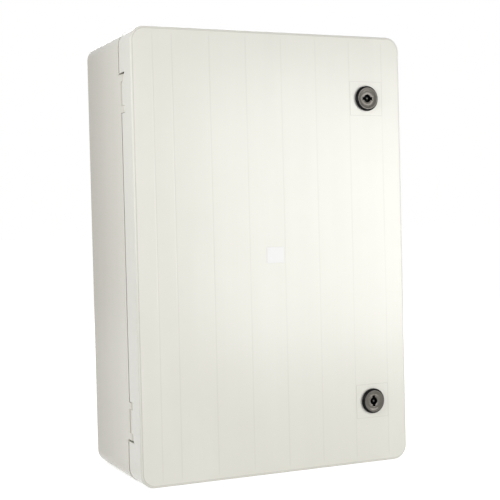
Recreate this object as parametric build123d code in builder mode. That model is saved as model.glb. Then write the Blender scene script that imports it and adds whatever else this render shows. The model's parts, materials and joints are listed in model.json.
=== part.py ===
from build123d import *
import os

# Wall-mounting enclosure moulded in two shells, with a side-hung door and two quarter-turn locks.
# X runs across the front, Z runs up and Y runs into the wall.
# The origin is the middle of the flat face that lies against the wall.

# Outline shared by the base and the door
width = 400.0
height = 600.0
depth = 200.0
corner_radius = 20.0

# Base shell
base_wall = 3.0
back_wall = 3.5
back_round = 4.0
flange = 3.0

# Door shell
rim_depth = 48.0
rim_gap = 2.0
rim_wall = 3.0
door_clearance = 0.4
skin = 3.0
front_round = 2.5
panel_inset = 3.2
panel_rise = 0.5
panel_round = 0.3

# Sealing lip on the base, and the gasket channel in the door
lip_inset = 18.5
lip_wall = 2.5
lip_round = 0.8
lip_radius = 14.0
channel_clearance = 3.0
channel_wall = 2.0
channel_width = 12.1
channel_height = 8.5
gasket_height = 5.0
gasket_round = 1.5
gasket_gap = 0.3

# Stiffening ribs behind the door panel
rib_count = 6
rib_thickness = 2.0
rib_height = 6.0
first_rib_edge = 56.7
rib_to_lock = 26.3

# Hinges, with the pin's depth and all cut-outs measured from the front panel
hinge_inset = 83.2
hinge_length = 53.5
hinge_depth = 36.5
outer_slit = 2.8
inner_slit = 0.7
slit_depth = 27.5
notch_depth = 29.8
hinge_rim_depth = 41.0
seam_gap = 1.0
seam_bevel = 1.1
knuckle_radius = 4.0
knuckle_gap = 0.3
base_knuckle_length = 9.0
web_thickness = 5.0
cradle_clearance = 0.6
cradle_width = 5.5
pin_radius = 1.5
pin_press_clearance = 0.01
pin_running_clearance = 0.05
pin_end_gap = 0.2
pin_chamfer = 0.4

# Places of the locks, measured from the casing's right edge and from its ends
lock_edge = 55.5
lock_inset = 87.5
pad_width = 50.4
pad_height = 47.0
pad_rise = 0.3
pad_backing = 2.0

# Lock housing
head_radius = 17.5
head_height = 4.5
head_edge = 2.0
head_chamfer = 2.3
rim_land = 1.3
dish_depth = 1.5
lock_body_radius = 11.0
lock_flat = 10.2
lock_hole_clearance = 0.15
lock_body_length = 19.6
nut_across_flats = 28.0
nut_thickness = 5.0
nut_chamfer = 0.8
nut_thread_clearance = 0.05
seal_thickness = 1.0
seal_radius = 16.0

# Lock rotor and keyway
rotor_clearance = 0.05
rotor_flange_radius = 10.0
rotor_flange = 2.3
rotor_radius = 8.8
keyway_depth = 7.5
keyway_radius = 5.5
wing_span = 15.4
wing_width = 4.4
key_pin_radius = 1.5
key_pin_drop = 0.7
groove_depth = 1.4
groove_width = 1.9
groove_place = 9.0
seal_ring_radius = 0.67
shank_width = 7.0

# Cam, washer and screw behind the rotor
cam_gap = 0.4
cam_thickness = 3.0
cam_reach = 31.0
cam_hub_radius = 10.0
cam_tip_radius = 6.0
cam_edge = 0.6
cam_hole_clearance = 0.1
shank_setback = 0.2
washer_radius = 7.0
washer_thickness = 1.0
cam_screw_radius = 2.0
cam_screw_length = 12.0
cam_screw_head_radius = 4.0
cam_screw_head = 2.6

# Strikes that the cams turn behind, each pegged to the sealing lip
strike_gap = 0.4
strike_engagement = 6.0
strike_length = 36.0
strike_thickness = 2.0
strike_slope = 6.0
strike_round = 0.6
peg_radius = 1.5
peg_spacing = 18.0
peg_setback = 0.2

# Mounting plate, its bosses, inserts and screws
plate_margin = 30.0
plate_thickness = 2.0
plate_corner = 34.0
boss_inset = 25.0
boss_radius = 7.0
boss_height = 14.5
boss_rib_length = 24.0
boss_rib_thickness = 1.8
boss_rib_height = 8.0
insert_radius = 3.5
insert_length = 9.5
insert_groove = 0.4
insert_groove_width = 1.6
insert_hole_extra = 1.0
plate_screw_radius = 2.4
plate_screw_length = 8.0
plate_screw_head_radius = 4.6
plate_screw_head = 3.2
plate_hole_clearance = 0.35
thread_clearance = 0.05
screw_round = 1.0
slot_width = 1.2
slot_length = 4.8
slot_depth = 1.4

# Wall fixing holes, measured in from the casing's outline
fixing_inset = 37.0
fixing_radius = 4.0
fixing_collar_radius = 9.0
fixing_collar_height = 3.0

# Small blank label on the panel
label_x = -0.8
label_z = -2.0
label_width = 26.0
label_height = 22.0
label_thickness = 0.2
label_corner = 1.0

# Derived places, as heights above the wall unless they say otherwise
left_edge = -width / 2
base_height = depth - rim_depth - rim_gap
door_back = depth - rim_depth
inner_face = depth - skin
lip_tip = inner_face - gasket_height - gasket_gap
channel_outer = lip_inset - channel_clearance
channel_inner = channel_outer + channel_width
lip_inner = lip_inset + lip_wall
pin_x = left_edge + knuckle_radius
pin_y = hinge_depth - depth
hinge_outer_end = height / 2 - hinge_inset + hinge_length / 2
hinge_inner_end = hinge_outer_end - hinge_length
knuckle_start = hinge_inner_end + inner_slit
knuckle_end = hinge_outer_end - outer_slit
tongue_start = knuckle_start + base_knuckle_length
tongue_end = knuckle_end - base_knuckle_length
seam_depth = hinge_rim_depth + seam_gap
lock_seat = depth + pad_rise
lock_x = width / 2 - lock_edge
lock_z = height / 2 - lock_inset
first_rib_x = left_edge + first_rib_edge
last_rib_x = lock_x - rib_to_lock
rib_pitch = (last_rib_x - first_rib_x) / (rib_count - 1)
rotor_end = lock_body_length + cam_gap
cam_back = rotor_end + cam_thickness
strike_tip = lock_x + cam_reach - strike_engagement
strike_back = rotor_end - pad_rise - strike_gap
peg_y = strike_back - (strike_thickness + strike_slope) / 2 - depth
plate_width = width - 2 * plate_margin
plate_height = height - 2 * plate_margin
plate_back = back_wall + boss_height
plate_front = plate_back + plate_thickness
peg_rows = [z + side * peg_spacing / 2 for z in (lock_z, -lock_z) for side in (1, -1)]
peg_places = Locations(*[(peg_y, z) for z in peg_rows])
boss_places = GridLocations(plate_width - 2 * boss_inset, plate_height / 2 - boss_inset, 2, 3)
fixing_places = GridLocations(width - 2 * fixing_inset, height - 2 * fixing_inset, 2, 2)

os.makedirs("parts", exist_ok=True)


def above_wall(distance):
    """Plane parallel to the wall, that distance in front of it and facing the front."""
    return Plane.XZ.offset(distance)


def y_behind_front(distance):
    """Y of a point that distance behind the front panel."""
    return distance - depth


def casing_outline(inset, mode=Mode.ADD):
    """Rounded outline that far inside the casing's own outline."""
    RectangleRounded(width - 2 * inset, height - 2 * inset, corner_radius - inset, mode=mode)


def seal_outline(inset, mode=Mode.ADD):
    """Rounded outline at that inset from the casing, with corners concentric with the sealing lip's."""
    RectangleRounded(width - 2 * inset, height - 2 * inset, lip_radius + lip_inset - inset, mode=mode)


def lock_plane(z):
    """Plane through a lock's axis, with X as the radius and Y out of the door from the pad's face."""
    return Plane(origin=(lock_x, -lock_seat, z), x_dir=(1, 0, 0), z_dir=(0, 0, -1))


def lock_axis(z):
    """Axis of a lock, pointing out of the door."""
    return Axis((lock_x, -lock_seat, z), (0, -1, 0))


def lock_level(z, distance):
    """Plane across a lock's axis, that distance in front of the pad's face and facing the front."""
    return Plane(origin=(lock_x, -lock_seat - distance, z), x_dir=(1, 0, 0), z_dir=(0, -1, 0))


def both_ends(start, end):
    """Lower Z of the stretch from start to end at the upper hinge, and of its mirror at the lower hinge."""
    return (start, -end)


def save(part, name):
    """Labels a finished piece and writes it to its own file."""
    part.label = name
    export_step(part, f"parts/{name}.step")


# Base shell
with BuildPart() as base_shell:
    with BuildSketch(above_wall(0)):
        casing_outline(0)
    extrude(amount=base_height)
    fillet(base_shell.faces().sort_by(Axis.Y)[-1].edges(), back_round)

    # Room inside, then the smaller mouth through the front flange
    with BuildSketch(above_wall(back_wall)):
        casing_outline(base_wall)
    extrude(amount=base_height - flange - back_wall, mode=Mode.SUBTRACT)
    with BuildSketch(above_wall(base_height - flange)):
        seal_outline(lip_inner)
    extrude(amount=flange, mode=Mode.SUBTRACT)

    # Sealing lip around the mouth
    with BuildSketch(above_wall(base_height)):
        seal_outline(lip_inset)
        seal_outline(lip_inner, mode=Mode.SUBTRACT)
    extrude(amount=lip_tip - base_height)
    fillet(base_shell.faces().sort_by(Axis.Y)[0].edges(), lip_round)

    # Edge that rises between and behind the hinges
    with BuildSketch(Plane.XY.offset(-knuckle_end)):
        with BuildLine():
            Polyline(
                (left_edge, -base_height),
                (left_edge, y_behind_front(seam_depth)),
                (left_edge + base_wall, y_behind_front(seam_depth + seam_bevel)),
                (left_edge + base_wall, -base_height),
                close=True,
            )
        make_face()
    extrude(amount=2 * knuckle_end)

    # Cradles behind the door's knuckles
    for low in both_ends(tongue_start, tongue_end):
        with BuildSketch(Plane.XY.offset(low)):
            with BuildLine():
                Polyline(
                    (left_edge, -base_height),
                    (left_edge, y_behind_front(seam_depth)),
                    (left_edge + cradle_width, pin_y + knuckle_radius + cradle_clearance),
                    (pin_x + cradle_width, pin_y + knuckle_radius + cradle_clearance),
                    (pin_x + cradle_width, -base_height),
                    close=True,
                )
            make_face()
        extrude(amount=tongue_end - tongue_start)

    # Outer knuckles of each hinge, on webs from the wall
    for start in (knuckle_start, tongue_end):
        for low in both_ends(start, start + base_knuckle_length):
            with BuildSketch(Plane.XY.offset(low)):
                with Locations((pin_x, pin_y)):
                    Circle(knuckle_radius)
                with Locations((left_edge, pin_y)):
                    Rectangle(web_thickness, -base_height - pin_y, align=(Align.MIN, Align.MIN))
                with Locations((pin_x, pin_y)):
                    Circle(pin_radius + pin_press_clearance, mode=Mode.SUBTRACT)
            extrude(amount=base_knuckle_length)

    # Holes for the pegs of the strikes
    with BuildSketch(Plane.YZ.offset(width / 2 - lip_inner)):
        with peg_places:
            Circle(peg_radius + pin_press_clearance)
    extrude(amount=lip_wall, mode=Mode.SUBTRACT)

    # Bosses for the mounting plate, each on crossed ribs
    with BuildSketch(above_wall(back_wall)):
        with boss_places:
            Rectangle(boss_rib_length, boss_rib_thickness)
            Rectangle(boss_rib_thickness, boss_rib_length)
    extrude(amount=boss_rib_height)
    with BuildSketch(above_wall(back_wall)):
        with boss_places:
            Circle(boss_radius)
    extrude(amount=boss_height)
    with BuildSketch(above_wall(plate_back - insert_length - insert_hole_extra)):
        with boss_places:
            Circle(insert_radius)
    extrude(amount=insert_length + insert_hole_extra, mode=Mode.SUBTRACT)

    # Wall fixing holes, each through a low collar
    with BuildSketch(above_wall(back_wall)):
        with fixing_places:
            Circle(fixing_collar_radius)
    extrude(amount=fixing_collar_height)
    with BuildSketch(above_wall(0)):
        with fixing_places:
            Circle(fixing_radius)
    extrude(amount=back_wall + fixing_collar_height, mode=Mode.SUBTRACT)
save(base_shell.part, "base_shell")


# Door shell
with BuildPart() as door_shell:
    with BuildSketch(above_wall(door_back)):
        casing_outline(door_clearance)
    extrude(amount=rim_depth - panel_rise)
    fillet(door_shell.faces().sort_by(Axis.Y)[0].edges(), front_round)

    # Front panel, slightly raised inside the rounded edge
    with BuildSketch(above_wall(depth - panel_rise)):
        casing_outline(panel_inset)
    extrude(amount=panel_rise)
    fillet(door_shell.faces().sort_by(Axis.Y)[0].edges(), panel_round)

    # Hollow behind the panel
    with BuildSketch(above_wall(door_back)):
        casing_outline(door_clearance + rim_wall)
    extrude(amount=rim_depth - skin, mode=Mode.SUBTRACT)

    # Two walls that hold the gasket
    with BuildSketch(above_wall(inner_face - channel_height)):
        seal_outline(channel_outer - channel_wall)
        seal_outline(channel_outer, mode=Mode.SUBTRACT)
        seal_outline(channel_inner)
        seal_outline(channel_inner + channel_wall, mode=Mode.SUBTRACT)
    extrude(amount=channel_height)

    # Upright ribs, the ones whose lines show faintly on the front
    with BuildSketch(above_wall(inner_face - rib_height)):
        with Locations(*[(first_rib_x + rib_pitch * i, 0) for i in range(rib_count)]):
            Rectangle(rib_thickness, height - 2 * channel_inner - channel_wall)
    extrude(amount=rib_height)

    # Lock pads: a low plateau on the front, and a thicker backing from the last rib to the channel
    backing_edge = width / 2 - channel_inner - channel_wall / 2
    with BuildSketch(above_wall(depth)):
        with Locations((lock_x, lock_z), (lock_x, -lock_z)):
            RectangleRounded(pad_width, pad_height, label_corner)
    extrude(amount=pad_rise)
    with BuildSketch(above_wall(inner_face - pad_backing)):
        with Locations((last_rib_x, lock_z), (last_rib_x, -lock_z)):
            Rectangle(backing_edge - last_rib_x, pad_height, align=(Align.MIN, Align.CENTER))
    extrude(amount=pad_backing)

    # Lock holes with two flats, so that the housings can't turn
    with BuildSketch(above_wall(inner_face - pad_backing)):
        with Locations((lock_x, lock_z), (lock_x, -lock_z)):
            Circle(lock_body_radius + lock_hole_clearance)
        Rectangle(width, 2 * (lock_z + lock_flat + lock_hole_clearance), mode=Mode.INTERSECT)
        Rectangle(width, 2 * (lock_z - lock_flat - lock_hole_clearance), mode=Mode.SUBTRACT)
    extrude(amount=skin + pad_backing + pad_rise, mode=Mode.SUBTRACT)

    # Shallower rim beside the raised edge of the base
    with BuildSketch(above_wall(door_back)):
        with Locations((left_edge, 0)):
            Rectangle(pin_x + cradle_width - left_edge, 2 * hinge_outer_end, align=(Align.MIN, Align.CENTER))
    extrude(amount=rim_depth - hinge_rim_depth, mode=Mode.SUBTRACT)

    # Notch for each hinge, and the narrow slits that reach further at its two ends
    for low in both_ends(hinge_inner_end, hinge_outer_end):
        with BuildSketch(above_wall(door_back)):
            with Locations((left_edge, low)):
                Rectangle(pin_x + cradle_width - left_edge, hinge_length, align=(Align.MIN, Align.MIN))
        extrude(amount=rim_depth - notch_depth, mode=Mode.SUBTRACT)
    for start, end in ((hinge_inner_end, knuckle_start), (knuckle_end, hinge_outer_end)):
        for low in both_ends(start, end):
            with BuildSketch(above_wall(door_back)):
                with Locations((left_edge, low)):
                    Rectangle(pin_x + cradle_width - left_edge, end - start, align=(Align.MIN, Align.MIN))
            extrude(amount=rim_depth - slit_depth, mode=Mode.SUBTRACT)

    # Fairings in front of the base's knuckles
    for start, end in ((knuckle_start, tongue_start + knuckle_gap), (tongue_end - knuckle_gap, knuckle_end)):
        for low in both_ends(start, end):
            with BuildSketch(Plane.XY.offset(low)):
                with BuildLine():
                    Polyline(
                        (left_edge + rim_wall / 2, y_behind_front(slit_depth)),
                        (left_edge + rim_wall / 2, y_behind_front(notch_depth)),
                        (left_edge + cradle_width, pin_y - knuckle_radius - cradle_clearance),
                        (pin_x + cradle_width, pin_y - knuckle_radius - cradle_clearance),
                        (pin_x + cradle_width, y_behind_front(slit_depth)),
                        close=True,
                    )
                make_face()
            extrude(amount=end - start)

    # Middle knuckle of each hinge, on a tongue of the rim
    for low in both_ends(tongue_start + knuckle_gap, tongue_end - knuckle_gap):
        with BuildSketch(Plane.XY.offset(low)):
            with Locations((left_edge + door_clearance, y_behind_front(slit_depth))):
                Rectangle(
                    knuckle_radius - door_clearance,
                    hinge_depth - slit_depth,
                    align=(Align.MIN, Align.MIN),
                )
            with Locations((pin_x, pin_y)):
                Circle(knuckle_radius)
                Circle(pin_radius + pin_running_clearance, mode=Mode.SUBTRACT)
        extrude(amount=tongue_end - tongue_start - 2 * knuckle_gap)
save(door_shell.part, "door_shell")


# Strikes, wedges with a square back, on pegs through the sealing lip
with BuildPart() as lock_strikes:
    for z in (lock_z, -lock_z):
        with BuildSketch(Plane.XY.offset(z - strike_length / 2)):
            with BuildLine():
                Polyline(
                    (width / 2 - lip_inner, y_behind_front(strike_back)),
                    (strike_tip, y_behind_front(strike_back)),
                    (strike_tip, y_behind_front(strike_back - strike_thickness)),
                    (width / 2 - lip_inner, y_behind_front(strike_back - strike_thickness - strike_slope)),
                    close=True,
                )
            make_face()
        extrude(amount=strike_length)
    fillet(lock_strikes.faces().sort_by(Axis.X)[:2].edges().filter_by(Axis.Z), strike_round)
    with BuildSketch(Plane.YZ.offset(width / 2 - lip_inner)):
        with peg_places:
            Circle(peg_radius)
    extrude(amount=lip_wall - peg_setback)
save(lock_strikes.part, "lock_strikes")


# Hinge pins
for place, low in zip(("upper", "lower"), both_ends(knuckle_start, knuckle_end)):
    with BuildPart() as hinge_pin:
        with BuildSketch(Plane.XY.offset(low + pin_end_gap)):
            with Locations((pin_x, pin_y)):
                Circle(pin_radius)
        extrude(amount=knuckle_end - knuckle_start - 2 * pin_end_gap)
        chamfer(hinge_pin.edges().filter_by(GeomType.CIRCLE), pin_chamfer)
    save(hinge_pin.part, f"{place}_hinge_pin")


# Foam gasket, poured between the channel walls
with BuildPart() as gasket:
    with BuildSketch(above_wall(inner_face - gasket_height)):
        seal_outline(channel_outer)
        seal_outline(channel_inner, mode=Mode.SUBTRACT)
    extrude(amount=gasket_height)
    fillet(gasket.faces().sort_by(Axis.Y)[-1].edges(), gasket_round)
save(gasket.part, "door_gasket")


# Blank label
with BuildPart() as label:
    with BuildSketch(above_wall(depth)):
        with Locations((label_x, label_z)):
            RectangleRounded(label_width, label_height, label_corner)
    extrude(amount=label_thickness)
save(label.part, "blank_label")


# Mounting plate with cut corners that leave the wall fixing holes free
with BuildPart() as mounting_plate:
    with BuildSketch(above_wall(plate_back)) as plate_outline:
        Rectangle(plate_width, plate_height)
        chamfer(plate_outline.vertices(), plate_corner)
        with boss_places:
            Circle(plate_screw_radius + plate_hole_clearance, mode=Mode.SUBTRACT)
    extrude(amount=plate_thickness)
save(mounting_plate.part, "mounting_plate")


# Brass inserts in the bosses, each with a retaining groove
with BuildPart() as plate_inserts:
    with BuildSketch(above_wall(plate_back - insert_length)):
        with boss_places:
            Circle(insert_radius)
            Circle(plate_screw_radius + thread_clearance, mode=Mode.SUBTRACT)
    extrude(amount=insert_length)
    with BuildSketch(above_wall(plate_back - (insert_length + insert_groove_width) / 2)):
        with boss_places:
            Circle(insert_radius)
            Circle(insert_radius - insert_groove, mode=Mode.SUBTRACT)
    extrude(amount=insert_groove_width, mode=Mode.SUBTRACT)
save(plate_inserts.part, "plate_inserts")


# Screws of the mounting plate
with BuildPart() as plate_screws:
    with BuildSketch(above_wall(plate_front)):
        with boss_places:
            Circle(plate_screw_head_radius)
    extrude(amount=plate_screw_head)
    fillet(plate_screws.faces().group_by(Axis.Y)[0].edges(), screw_round)
    with BuildSketch(above_wall(plate_front - plate_thickness - plate_screw_length)):
        with boss_places:
            Circle(plate_screw_radius)
    extrude(amount=plate_thickness + plate_screw_length)
    with BuildSketch(above_wall(plate_front + plate_screw_head - slot_depth)):
        with boss_places:
            Rectangle(slot_length, slot_width)
            Rectangle(slot_width, slot_length)
    extrude(amount=slot_depth, mode=Mode.SUBTRACT)
save(plate_screws.part, "plate_screws")


def lock_pieces(place, z, wing_angle):
    """Every piece of one lock, with its keyway turned to wing_angle and its cam hanging down."""
    cam_level = -cam_back
    washer_level = cam_level - washer_thickness
    bore = rotor_radius + rotor_clearance
    seat = rotor_flange_radius + rotor_clearance
    head_top = seal_thickness + head_height
    dish_floor = head_top - dish_depth
    rotor_seat = dish_floor - rotor_flange

    # Housing: turned head with a chamfered rim and a shallow dish, on a body with two flats
    with BuildPart() as housing:
        with BuildSketch(lock_plane(z)):
            with BuildLine():
                side = Polyline(
                    (seat, seal_thickness),
                    (head_radius, seal_thickness),
                    (head_radius, seal_thickness + head_edge),
                    (head_radius - head_chamfer, head_top),
                    (head_radius - head_chamfer - rim_land, head_top),
                )
                RadiusArc(side @ 1, (seat, dish_floor), head_radius)
                Line((seat, dish_floor), side @ 0)
            make_face()
        revolve(axis=lock_axis(z))
        with BuildSketch(lock_level(z, -lock_body_length)):
            Circle(lock_body_radius)
            Rectangle(2 * lock_body_radius, 2 * lock_flat, mode=Mode.INTERSECT)
        extrude(amount=lock_body_length + rotor_seat)
        with BuildSketch(lock_level(z, -lock_body_length)):
            Circle(bore)
        extrude(amount=lock_body_length + rotor_seat, mode=Mode.SUBTRACT)
    save(housing.part, f"{place}_lock_housing")

    # Flat seal between the head and the door
    with BuildPart() as flat_seal:
        with BuildSketch(lock_level(z, 0)):
            Circle(seal_radius)
            Circle(lock_body_radius + lock_hole_clearance, mode=Mode.SUBTRACT)
        extrude(amount=seal_thickness)
    save(flat_seal.part, f"{place}_lock_seal")

    # Hexagon nut inside the door
    with BuildPart() as nut:
        with BuildSketch(lock_level(z, -pad_rise - skin - pad_backing - nut_thickness)):
            RegularPolygon(nut_across_flats / 2, 6, major_radius=False)
            Circle(lock_body_radius + nut_thread_clearance, mode=Mode.SUBTRACT)
        extrude(amount=nut_thickness)
        chamfer(nut.faces().sort_by(Axis.Y)[-1].outer_wire().edges(), nut_chamfer)
    save(nut.part, f"{place}_lock_nut")

    # Rotor with the double-bit keyway, a groove for its ring and a square shank
    with BuildPart() as rotor:
        with BuildSketch(lock_level(z, rotor_seat)):
            Circle(rotor_flange_radius)
        extrude(amount=rotor_flange)
        with BuildSketch(lock_level(z, -rotor_end)):
            Circle(rotor_radius)
        extrude(amount=rotor_end + rotor_seat)
        with BuildSketch(lock_level(z, -cam_back + shank_setback)):
            Rectangle(shank_width, shank_width)
        extrude(amount=cam_thickness - shank_setback)
        with BuildSketch(lock_level(z, dish_floor - keyway_depth)):
            Circle(keyway_radius)
            Rectangle(wing_span, wing_width, rotation=wing_angle)
            Circle(key_pin_radius, mode=Mode.SUBTRACT)
        extrude(amount=keyway_depth, mode=Mode.SUBTRACT)
        with BuildSketch(lock_level(z, dish_floor - key_pin_drop)):
            Circle(key_pin_radius)
        extrude(amount=key_pin_drop, mode=Mode.SUBTRACT)
        with BuildSketch(lock_level(z, -groove_place - groove_width / 2)):
            Circle(rotor_radius)
            Circle(rotor_radius - groove_depth, mode=Mode.SUBTRACT)
        extrude(amount=groove_width, mode=Mode.SUBTRACT)
        with BuildSketch(lock_level(z, -cam_back)):
            Circle(cam_screw_radius + thread_clearance)
        extrude(amount=cam_screw_length, mode=Mode.SUBTRACT)
    save(rotor.part, f"{place}_lock_rotor")

    # Sealing ring in the rotor's groove
    with BuildPart() as seal_ring:
        with BuildSketch(lock_plane(z)):
            with Locations((rotor_radius - groove_depth / 2, -groove_place)):
                Circle(seal_ring_radius)
        revolve(axis=lock_axis(z))
    save(seal_ring.part, f"{place}_lock_ring")

    # Cam: a tapered lever with a square hole
    with BuildPart() as cam:
        with BuildSketch(lock_level(z, cam_level)):
            Circle(cam_hub_radius)
            with Locations((0, cam_tip_radius - cam_reach)):
                Circle(cam_tip_radius)
            make_hull()
            Rectangle(shank_width + cam_hole_clearance, shank_width + cam_hole_clearance, mode=Mode.SUBTRACT)
        extrude(amount=cam_thickness)
        chamfer(cam.faces().sort_by(Axis.Y)[0].outer_wire().edges(), cam_edge)
    save(cam.part, f"{place}_lock_cam")

    # Washer and screw that hold the cam
    with BuildPart() as washer:
        with BuildSketch(lock_level(z, washer_level)):
            Circle(washer_radius)
            Circle(cam_screw_radius + cam_hole_clearance, mode=Mode.SUBTRACT)
        extrude(amount=washer_thickness)
    save(washer.part, f"{place}_cam_washer")
    with BuildPart() as screw:
        with BuildSketch(lock_level(z, washer_level - cam_screw_head)):
            Circle(cam_screw_head_radius)
        extrude(amount=cam_screw_head)
        fillet(screw.faces().sort_by(Axis.Y)[-1].edges(), screw_round)
        with BuildSketch(lock_level(z, washer_level)):
            Circle(cam_screw_radius)
        extrude(amount=cam_screw_length)
        with BuildSketch(lock_level(z, washer_level - cam_screw_head)):
            Rectangle(slot_length, slot_width)
            Rectangle(slot_width, slot_length)
        extrude(amount=slot_depth, mode=Mode.SUBTRACT)
    save(screw.part, f"{place}_cam_screw")


# The upper keyway lies level and the lower one stands upright
lock_pieces("upper", lock_z, 0)
lock_pieces("lower", -lock_z, 90)
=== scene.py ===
"""Dresses the wall-mounting enclosure: lock pieces, moulded plastic, metal, foam and the studio around it."""

import json
import logging
import math
from dataclasses import dataclass, field
from enum import Enum
from typing import Dict, List, Optional, Sequence, Tuple, Union

import bpy
from mathutils import Matrix, Vector

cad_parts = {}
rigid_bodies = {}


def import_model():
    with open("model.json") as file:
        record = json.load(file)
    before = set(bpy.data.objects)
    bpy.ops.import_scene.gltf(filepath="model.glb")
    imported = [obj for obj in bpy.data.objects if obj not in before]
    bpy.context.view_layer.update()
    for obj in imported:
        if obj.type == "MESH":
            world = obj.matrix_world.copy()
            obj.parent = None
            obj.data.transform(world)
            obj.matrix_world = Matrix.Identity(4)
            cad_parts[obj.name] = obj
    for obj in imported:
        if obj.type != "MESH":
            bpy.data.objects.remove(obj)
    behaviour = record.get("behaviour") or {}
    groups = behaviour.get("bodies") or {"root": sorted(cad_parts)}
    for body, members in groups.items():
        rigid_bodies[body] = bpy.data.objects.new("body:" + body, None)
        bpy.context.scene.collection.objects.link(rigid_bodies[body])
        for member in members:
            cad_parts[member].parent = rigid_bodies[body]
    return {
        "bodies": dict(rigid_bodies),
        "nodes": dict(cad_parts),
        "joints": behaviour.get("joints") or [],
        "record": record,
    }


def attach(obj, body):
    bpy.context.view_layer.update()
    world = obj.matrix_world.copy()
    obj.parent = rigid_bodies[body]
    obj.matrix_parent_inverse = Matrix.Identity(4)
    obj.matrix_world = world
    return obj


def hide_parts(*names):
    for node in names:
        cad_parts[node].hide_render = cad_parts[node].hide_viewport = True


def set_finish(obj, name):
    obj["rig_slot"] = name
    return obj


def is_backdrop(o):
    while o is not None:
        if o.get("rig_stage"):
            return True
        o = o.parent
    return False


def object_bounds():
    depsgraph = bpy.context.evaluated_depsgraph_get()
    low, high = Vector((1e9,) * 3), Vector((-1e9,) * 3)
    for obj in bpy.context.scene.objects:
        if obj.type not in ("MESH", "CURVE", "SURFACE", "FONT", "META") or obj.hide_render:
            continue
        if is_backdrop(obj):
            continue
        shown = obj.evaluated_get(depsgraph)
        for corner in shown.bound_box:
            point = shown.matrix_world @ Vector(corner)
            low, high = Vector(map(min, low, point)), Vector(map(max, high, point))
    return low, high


MM = 0.001
DOUBLES = 0.001 * MM
LOCK_PLACE = (144.5 * MM, 212.5 * MM)
LOG = logging.getLogger("enclosure")

Point2 = Tuple[float, float]
Point3 = Tuple[float, float, float]
Colour = Tuple[float, float, float]


class Place(Enum):
    """Which of the two locks a piece belongs to, with the side of the middle that it is on."""

    UPPER = 1
    LOWER = -1

    @property
    def word(self) -> str:
        """The place as the names of the CAD nodes have it."""
        return self.name.lower()


class Facing(Enum):
    """Side of the enclosure that the head of a screw looks to."""

    FRONT = 1
    WALL = -1


class Axis(Enum):
    """Direction in which a pattern on a surface runs."""

    X = 0
    Y = 1
    Z = 2


class Field:
    """A shader socket that Python's operators turn into Math nodes."""

    def __init__(self, sheet: "NodeSheet", socket: bpy.types.NodeSocket) -> None:
        """Wraps a socket of a node on a sheet."""
        self.sheet = sheet
        self.socket = socket

    def output(self, key: Union[int, str]) -> "Field":
        """Another output of the same node."""
        return Field(self.sheet, self.socket.node.outputs[key])

    def math(self, operation: str, *others: "Scalar") -> "Field":
        """Adds one Math node.

        Args:
            operation: Name of the Math node's operation.
            others: The node's further inputs, in order.

        Returns:
            The node's result.
        """
        values = dict(enumerate((self, *others)))
        return self.sheet.node("ShaderNodeMath", {"operation": operation}, values)

    def __add__(self, other: "Scalar") -> "Field":
        """Sum, with a number on either side."""
        return self.math("ADD", other)

    def __sub__(self, other: "Scalar") -> "Field":
        """Difference."""
        return self.math("SUBTRACT", other)

    def __rsub__(self, other: float) -> "Field":
        """Difference from a number on the left."""
        return self.sheet.node("ShaderNodeMath", {"operation": "SUBTRACT"}, {0: other, 1: self})

    def __mul__(self, other: "Scalar") -> "Field":
        """Product, with a number on either side."""
        return self.math("MULTIPLY", other)

    __radd__ = __add__
    __rmul__ = __mul__

    def __abs__(self) -> "Field":
        """Size without its sign."""
        return self.math("ABSOLUTE")

    def ramp(self, low: float, high: float) -> "Field":
        """Smooth step that is 0 up to low and 1 from high on; low may be the larger of the two.

        Args:
            low: Where the step starts.
            high: Where it ends.

        Returns:
            The step.
        """
        swapped = low > high
        first, last = (high, low) if swapped else (low, high)
        values = {"Value": self, "From Min": first, "From Max": last}
        step = self.sheet.node("ShaderNodeMapRange", {"interpolation_type": "SMOOTHSTEP"}, values)
        return 1.0 - step if swapped else step

    def hill(self, centre: float, half_width: float) -> "Field":
        """Smooth hill of height 1 at a centre.

        Args:
            centre: Where the hill stands.
            half_width: How far from the centre it reaches zero.

        Returns:
            The hill.
        """
        return abs(self - centre).ramp(half_width, 0.0)


Scalar = Union[float, Field]


class NodeSheet:
    """A node tree that nodes are added to."""

    def __init__(self, tree: bpy.types.NodeTree) -> None:
        """Starts with an empty tree."""
        self.nodes = tree.nodes
        self.links = tree.links
        self.nodes.clear()

    def node(
        self,
        kind: str,
        settings: Optional[Dict[str, object]] = None,
        values: Optional[Dict[Union[int, str], object]] = None,
        result: Union[int, str] = 0,
    ) -> Field:
        """Adds any node.

        Args:
            kind: The node's type.
            settings: Its own settings, which are set before its sockets.
            values: Numbers, colours or fields for its sockets, by name or place.
            result: The output that is wanted.

        Returns:
            That output.
        """
        made = self.nodes.new(kind)
        for key, setting in (settings or {}).items():
            setattr(made, key, setting)
        for key, value in (values or {}).items():
            self.feed(made.inputs[key], value)
        return Field(self, made.outputs[result])

    def feed(self, socket: bpy.types.NodeSocket, value: object) -> None:
        """Links a field to a socket, or sets a plain value on it."""
        if isinstance(value, Field):
            self.links.new(value.socket, socket)
        else:
            socket.default_value = value

    def seen_directly(self) -> Field:
        """1 for rays from the camera, off glossy surfaces and through clear ones, and 0 for soft light."""
        path = self.node("ShaderNodeLightPath", result="Is Camera Ray")
        mirrored, through = path.output("Is Glossy Ray"), path.output("Is Transmission Ray")
        return path.math("MAXIMUM", mirrored).math("MAXIMUM", through)

    def blend(self, factor: Scalar, low: object, high: object) -> Field:
        """Colour that goes from low to high with the factor."""
        pair = [colour if isinstance(colour, Field) else (*colour, 1.0) for colour in (low, high)]
        return self.node("ShaderNodeMix", {"data_type": "RGBA"}, {0: factor, 6: pair[0], 7: pair[1]}, 2)


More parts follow.
